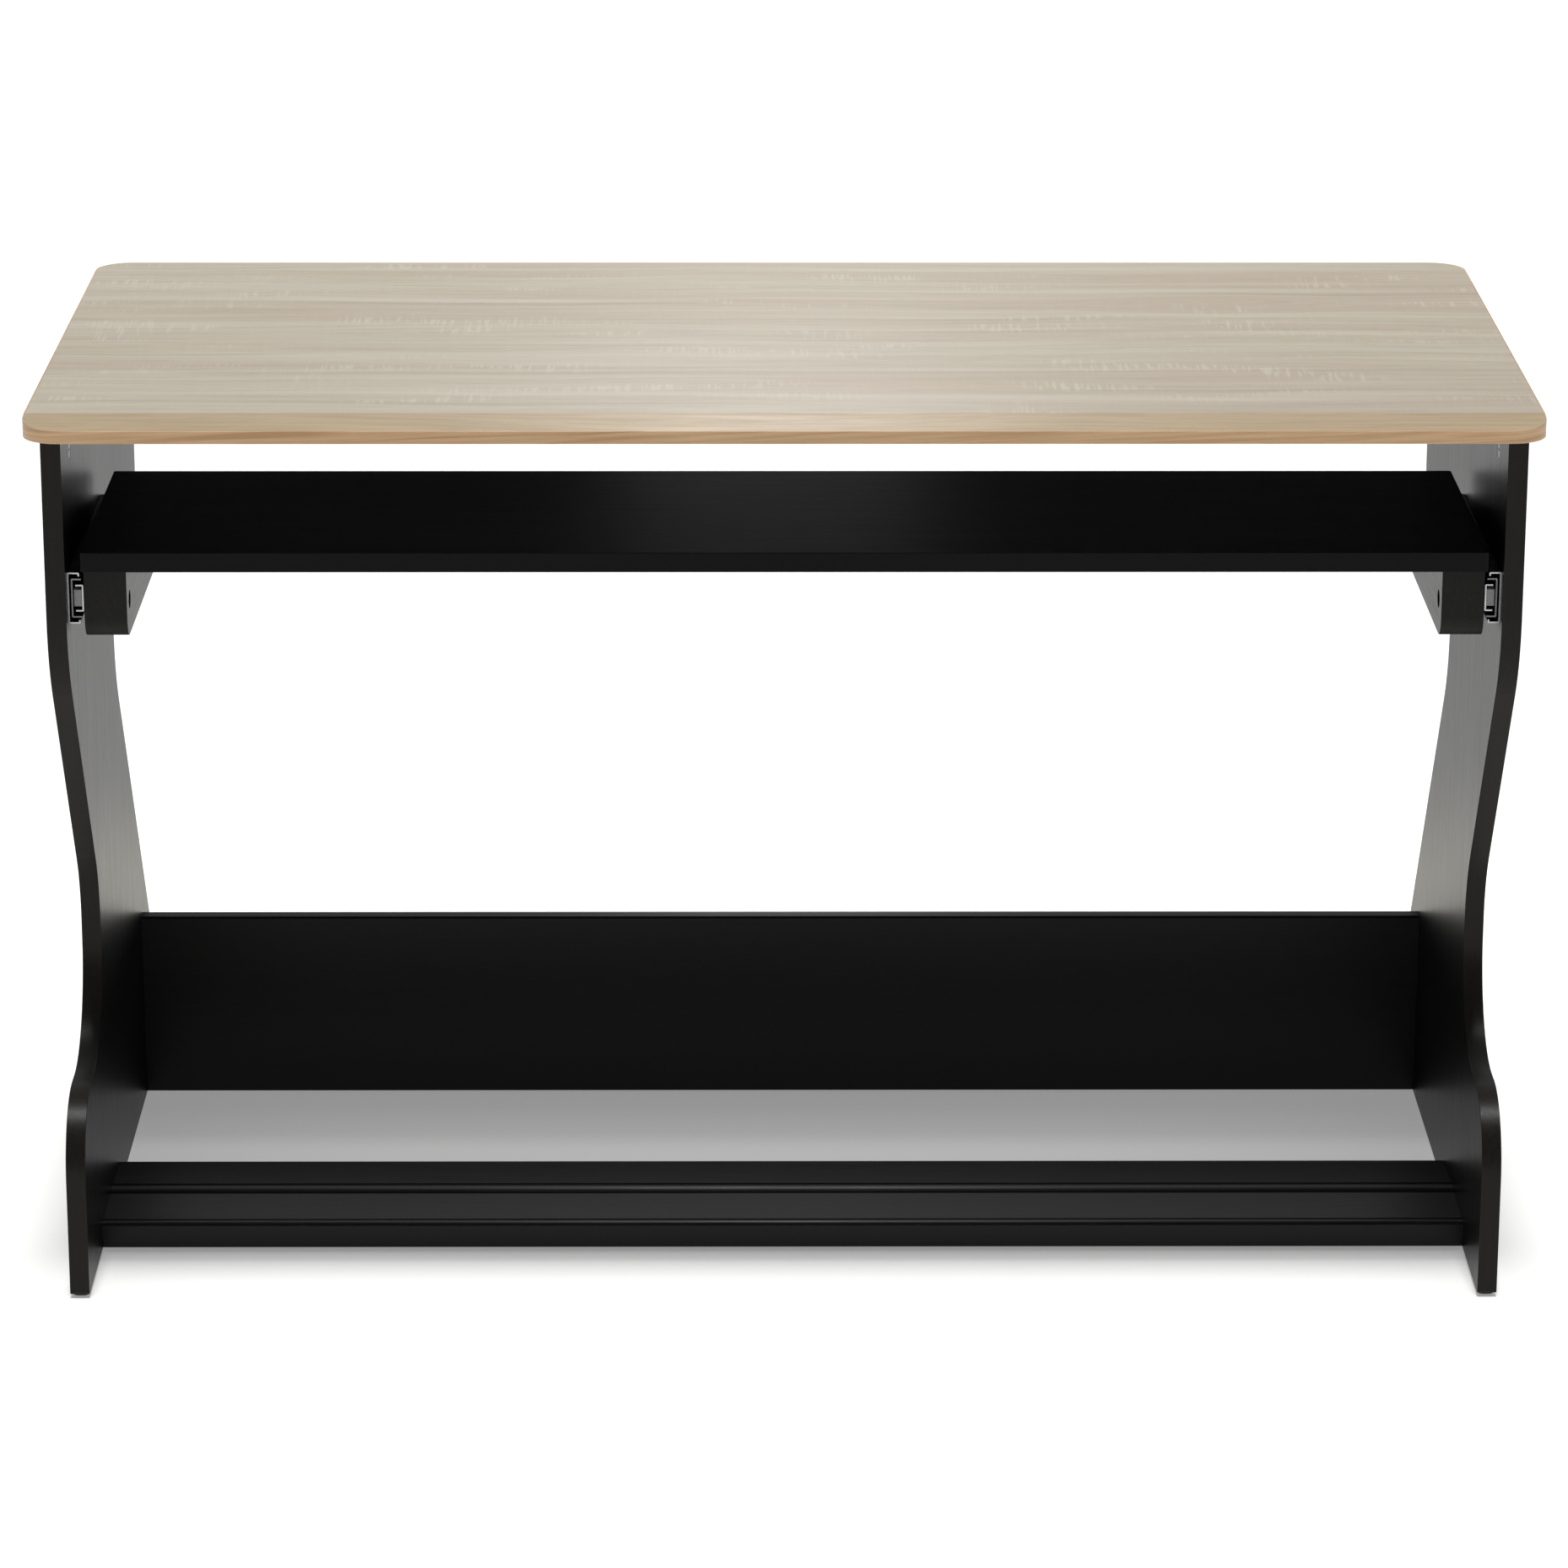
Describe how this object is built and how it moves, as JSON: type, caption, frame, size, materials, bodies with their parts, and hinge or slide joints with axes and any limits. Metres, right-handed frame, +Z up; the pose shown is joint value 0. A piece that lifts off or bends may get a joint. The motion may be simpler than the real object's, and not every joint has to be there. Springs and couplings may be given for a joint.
{
  "type": "computer desk",
  "caption": "Computer desk: pale oak top with a bevelled front, black S-shaped side panels, low rear board and foot bar, keyboard tray on telescopic slides.",
  "frame": {"origin": "on the floor, under the middle of the desktop", "axes": "+X to the user's right, +Y to the rear, +Z up; the user sits on the -Y side"},
  "size_m": [1.2, 0.6, 0.74],
  "materials": {
    "oak_top": "pale grey-beige oak print, satin",
    "oak_edge": "tan oak print on a plastic edge band, satin",
    "black_board": "black melamine on board, satin",
    "black_edge": "black plastic edge band, satin",
    "beech": "fluted beech, raw",
    "zinc_cam": "die-cast zinc, dull",
    "zinc_steel": "zinc-plated steel",
    "rail_steel": "bright zinc-plated rolled steel",
    "cage_steel": "plain sheet steel",
    "ball_steel": "polished steel",
    "grey_plastic": "grey moulded plastic",
    "black_plastic": "black moulded plastic"
  },
  "bodies": {
    "frame": {"desktop_board": "oak_top", "desktop_edge_band": "oak_edge", "left_side_panel": "black_board", "right_side_panel": "black_board", "left_panel_edge_band": "black_edge", "right_panel_edge_band": "black_edge", "back_panel": "black_board", "footrest_board": "black_board", "floor_glides": "black_plastic", "desktop_cam_locks": "zinc_cam", "desktop_cam_bolts": "zinc_steel", "desktop_dowels": "beech", "back_panel_cam_locks": "zinc_cam", "back_panel_cam_bolts": "zinc_steel", "back_panel_dowels": "beech", "footrest_cam_locks": "zinc_cam", "footrest_cam_bolts": "zinc_steel", "footrest_dowels": "beech", "left_slide_outer_rail": "rail_steel", "left_slide_rear_stop": "black_plastic", "left_slide_panel_screws": "zinc_steel", "right_slide_outer_rail": "rail_steel", "right_slide_rear_stop": "black_plastic", "right_slide_panel_screws": "zinc_steel"},
    "tray": {"tray_board": "black_board", "tray_edge_band": "black_edge", "left_tray_cleat": "black_board", "right_tray_cleat": "black_board", "tray_cam_locks": "zinc_cam", "tray_cam_bolts": "zinc_steel", "tray_dowels": "beech", "left_slide_inner_rail": "rail_steel", "left_slide_front_block": "grey_plastic", "left_slide_tray_screws": "zinc_steel", "right_slide_inner_rail": "rail_steel", "right_slide_front_block": "grey_plastic", "right_slide_tray_screws": "zinc_steel"},
    "left_middle_rail": {"left_slide_middle_rail": "rail_steel"},
    "left_outer_cage": {"left_slide_outer_cage": "cage_steel", "left_slide_outer_balls": "ball_steel"},
    "left_inner_cage": {"left_slide_inner_cage": "cage_steel", "left_slide_inner_balls": "ball_steel"},
    "right_middle_rail": {"right_slide_middle_rail": "rail_steel"},
    "right_outer_cage": {"right_slide_outer_cage": "cage_steel", "right_slide_outer_balls": "ball_steel"},
    "right_inner_cage": {"right_slide_inner_cage": "cage_steel", "right_slide_inner_balls": "ball_steel"}
  },
  "joints": [
    {"name": "tray_slide", "type": "slide", "parent": "frame", "child": "tray", "axis": [0, -1, 0], "range_m": [0, 0.25]},
    {"name": "left_middle_rail_slide", "type": "slide", "parent": "frame", "child": "left_middle_rail", "axis": [0, -1, 0], "range_m": [0, 0.125]},
    {"name": "left_outer_cage_slide", "type": "slide", "parent": "frame", "child": "left_outer_cage", "axis": [0, -1, 0], "range_m": [0, 0.0625]},
    {"name": "left_inner_cage_slide", "type": "slide", "parent": "frame", "child": "left_inner_cage", "axis": [0, -1, 0], "range_m": [0, 0.1875]},
    {"name": "right_middle_rail_slide", "type": "slide", "parent": "frame", "child": "right_middle_rail", "axis": [0, -1, 0], "range_m": [0, 0.125]},
    {"name": "right_outer_cage_slide", "type": "slide", "parent": "frame", "child": "right_outer_cage", "axis": [0, -1, 0], "range_m": [0, 0.0625]},
    {"name": "right_inner_cage_slide", "type": "slide", "parent": "frame", "child": "right_inner_cage", "axis": [0, -1, 0], "range_m": [0, 0.1875]}
  ],
  "couplings": [
    {"joint": "left_middle_rail_slide", "follows": "tray_slide", "ratio": 0.5},
    {"joint": "left_outer_cage_slide", "follows": "tray_slide", "ratio": 0.25},
    {"joint": "left_inner_cage_slide", "follows": "tray_slide", "ratio": 0.75},
    {"joint": "right_middle_rail_slide", "follows": "tray_slide", "ratio": 0.5},
    {"joint": "right_outer_cage_slide", "follows": "tray_slide", "ratio": 0.25},
    {"joint": "right_inner_cage_slide", "follows": "tray_slide", "ratio": 0.75}
  ]
}
